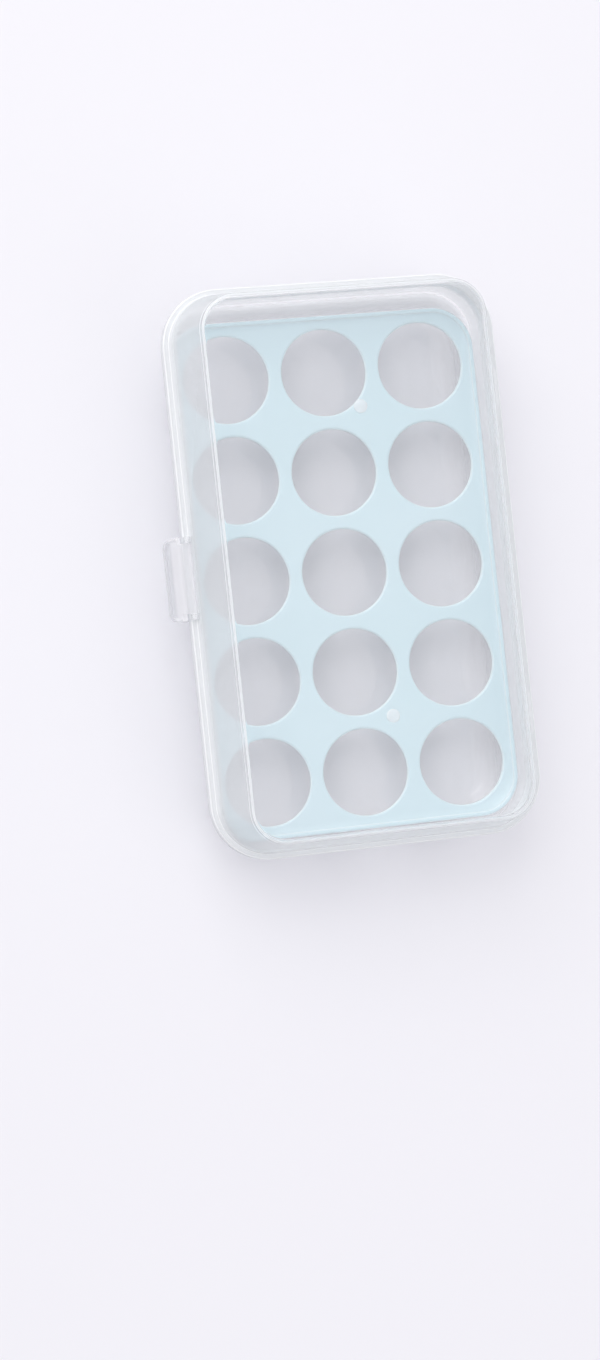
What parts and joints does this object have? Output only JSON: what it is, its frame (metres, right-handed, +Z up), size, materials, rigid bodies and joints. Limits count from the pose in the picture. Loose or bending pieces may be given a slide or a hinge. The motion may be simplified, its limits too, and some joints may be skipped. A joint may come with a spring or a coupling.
{
  "type": "egg holder",
  "caption": "Clear box with a hinged lid and a snap latch, holding a coloured lift-out tray with round holes in which eggs stand.",
  "frame": {"origin": "middle of the flat underside of the base, on the surface that the holder stands on", "axes": "+X across the holder, from the latch to the hinge; +Y along its long side; +Z up"},
  "size_m": [0.1574, 0.246, 0.0667],
  "materials": {
    "clear_shell": "frosted-clear moulded polypropylene, smooth outside",
    "tray": "pastel blue moulded polypropylene, satin"
  },
  "bodies": {
    "base": {"base_shell": "clear_shell"},
    "tray": {"egg_tray": "tray"},
    "lid": {"lid_shell": "clear_shell"},
    "latch": {"latch_clip": "clear_shell"}
  },
  "joints": [
    {"name": "lid_hinge", "type": "hinge", "parent": "base", "child": "lid", "pos_m": [0.07421, 0, 0.029], "axis": [0, 1, 0], "range_deg": [0, 135]},
    {"name": "latch_pivot", "type": "hinge", "parent": "lid", "child": "latch", "pos_m": [-0.07291, 0, 0.0394], "axis": [0, 1, 0], "range_deg": [0, 100]},
    {"name": "tray_lift", "type": "slide", "parent": "base", "child": "tray", "axis": [0, 0, 1], "range_m": [0, 0.014]}
  ]
}
